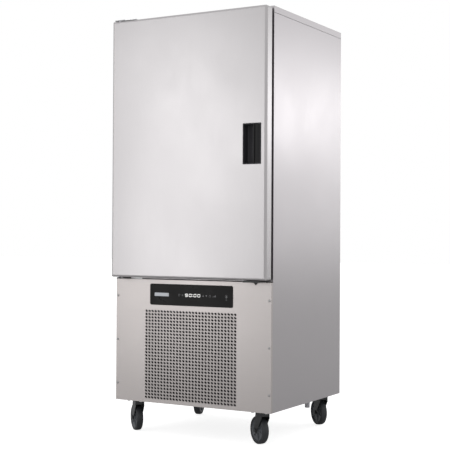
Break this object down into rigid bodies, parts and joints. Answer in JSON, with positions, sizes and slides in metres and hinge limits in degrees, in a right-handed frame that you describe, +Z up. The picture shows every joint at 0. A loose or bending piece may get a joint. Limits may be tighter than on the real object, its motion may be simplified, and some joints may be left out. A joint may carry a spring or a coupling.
{
  "type": "upright blast chiller",
  "caption": "Upright blast chiller on swivel casters: insulated chamber behind a hinged door, controls and slotted grille on the machine compartment below.",
  "frame": {"origin": "on the floor, at the centre of the footprint", "axes": "+Z up, +X to the right as seen from the front, +Y to the back; the door faces -Y"},
  "size_m": [0.79, 0.76, 1.855],
  "materials": {
    "casing_steel": "satin brushed stainless sheet",
    "front_steel": "satin brushed stainless sheet",
    "door_steel": "satin brushed stainless sheet, vertical grain",
    "liner_steel": "satin stainless sheet",
    "screw_steel": "machined stainless",
    "dark_steel": "dark painted steel",
    "caster_steel": "dark painted pressed steel",
    "foam": "rigid polyurethane foam",
    "fins": "plain aluminium fins",
    "fan_plastic": "moulded plastic",
    "motor_paint": "black enamel",
    "rubber": "moulded rubber",
    "seal_rubber": "soft extruded seal",
    "copper": "drawn copper",
    "box_steel": "zinc plated sheet",
    "black_glass": "gloss black glass",
    "button_plastic": "gloss plastic",
    "board": "green circuit board",
    "black_plastic": "moulded plastic",
    "handle_plastic": "moulded plastic",
    "pale_plastic": "moulded plastic",
    "wheel_rubber": "moulded tread and core"
  },
  "bodies": {
    "cabinet": {"left_side_panel": "casing_steel", "right_side_panel": "casing_steel", "top_cover": "casing_steel", "rear_panel": "casing_steel", "rear_grille": "casing_steel", "base_pan": "dark_steel", "lower_front_panel": "front_steel", "panel_screws": "screw_steel", "face_frame": "casing_steel", "wall_insulation": "foam", "liner_left": "liner_steel", "liner_right": "liner_steel", "liner_roof": "liner_steel", "liner_rear": "liner_steel", "liner_floor": "liner_steel", "evaporator": "fins", "fan_cover": "liner_steel", "fan_guards": "dark_steel", "fan_motors": "motor_paint", "left_rack": "liner_steel", "right_rack": "liner_steel", "core_probe": "black_plastic", "probe_holder": "black_plastic", "drain_pipe": "pale_plastic", "compressor": "motor_paint", "compressor_feet": "rubber", "condenser": "fins", "condenser_shroud": "dark_steel", "condenser_fan_motor": "motor_paint", "liquid_receiver": "motor_paint", "filter_drier": "copper", "refrigerant_pipes": "copper", "electrical_box": "box_steel", "control_glass": "black_glass", "control_board": "board", "cable_gland": "black_plastic", "top_hinge": "dark_steel", "bottom_hinge": "black_plastic", "door_catch": "black_plastic", "caster_plates": "caster_steel"},
    "door": {"door_skin": "door_steel", "door_insulation": "foam", "door_liner": "liner_steel", "door_seal": "seal_rubber", "handle_pocket": "handle_plastic", "handle_grip": "handle_plastic", "hinge_bushes": "pale_plastic"},
    "upper_fan_rotor": {"upper_fan": "fan_plastic"},
    "lower_fan_rotor": {"lower_fan": "fan_plastic"},
    "condenser_fan_rotor": {"condenser_fan": "fan_plastic"},
    "button": {"power_button": "button_plastic"},
    "swivel_front_right": {"fork_front_right": "caster_steel"},
    "swivel_front_left": {"fork_front_left": "caster_steel"},
    "swivel_rear_right": {"fork_rear_right": "caster_steel"},
    "swivel_rear_left": {"fork_rear_left": "caster_steel"},
    "roller_front_right": {"wheel_front_right": "wheel_rubber"},
    "roller_front_left": {"wheel_front_left": "wheel_rubber"},
    "roller_rear_right": {"wheel_rear_right": "wheel_rubber"},
    "roller_rear_left": {"wheel_rear_left": "wheel_rubber"}
  },
  "joints": [
    {"name": "door_hinge", "type": "hinge", "parent": "cabinet", "child": "door", "pos_m": [-0.351, -0.368, 1.275], "axis": [0, 0, -1], "range_deg": [0, 120]},
    {"name": "upper_fan_spin", "type": "hinge", "parent": "cabinet", "child": "upper_fan_rotor", "pos_m": [0, 0.1375, 1.531], "axis": [0, 1, 0], "continuous": true},
    {"name": "lower_fan_spin", "type": "hinge", "parent": "cabinet", "child": "lower_fan_rotor", "pos_m": [0, 0.1375, 1.021], "axis": [0, 1, 0], "continuous": true},
    {"name": "condenser_fan_spin", "type": "hinge", "parent": "cabinet", "child": "condenser_fan_rotor", "pos_m": [0, -0.2208, 0.358], "axis": [0, 1, 0], "continuous": true},
    {"name": "power_button_press", "type": "slide", "parent": "cabinet", "child": "button", "axis": [0, 1, 0], "range_m": [0, 0.001], "stiffness_N_per_m": 400},
    {"name": "swivel_front_right", "type": "hinge", "parent": "cabinet", "child": "swivel_front_right", "pos_m": [0.319, -0.256, 0.13], "axis": [0, 0, 1], "continuous": true},
    {"name": "roll_front_right", "type": "hinge", "parent": "swivel_front_right", "child": "roller_front_right", "pos_m": [0.29719, -0.24184, 0.06], "axis": [-0.5446, -0.8387, 0], "continuous": true},
    {"name": "swivel_front_left", "type": "hinge", "parent": "cabinet", "child": "swivel_front_left", "pos_m": [-0.319, -0.256, 0.13], "axis": [0, 0, 1], "continuous": true},
    {"name": "roll_front_left", "type": "hinge", "parent": "swivel_front_left", "child": "roller_front_left", "pos_m": [-0.33892, -0.23929, 0.06], "axis": [-0.6428, -0.766, 0], "continuous": true},
    {"name": "swivel_rear_right", "type": "hinge", "parent": "cabinet", "child": "swivel_rear_right", "pos_m": [0.332, 0.311, 0.13], "axis": [0, 0, 1], "continuous": true},
    {"name": "roll_rear_right", "type": "hinge", "parent": "swivel_rear_right", "child": "roller_rear_right", "pos_m": [0.31151, 0.32701, 0.06], "axis": [-0.6157, -0.788, 0], "continuous": true},
    {"name": "swivel_rear_left", "type": "hinge", "parent": "cabinet", "child": "swivel_rear_left", "pos_m": [-0.332, 0.311, 0.13], "axis": [0, 0, 1], "continuous": true},
    {"name": "roll_rear_left", "type": "hinge", "parent": "swivel_rear_left", "child": "roller_rear_left", "pos_m": [-0.32483, 0.28601, 0.06], "axis": [0.9613, 0.2756, 0], "continuous": true}
  ]
}
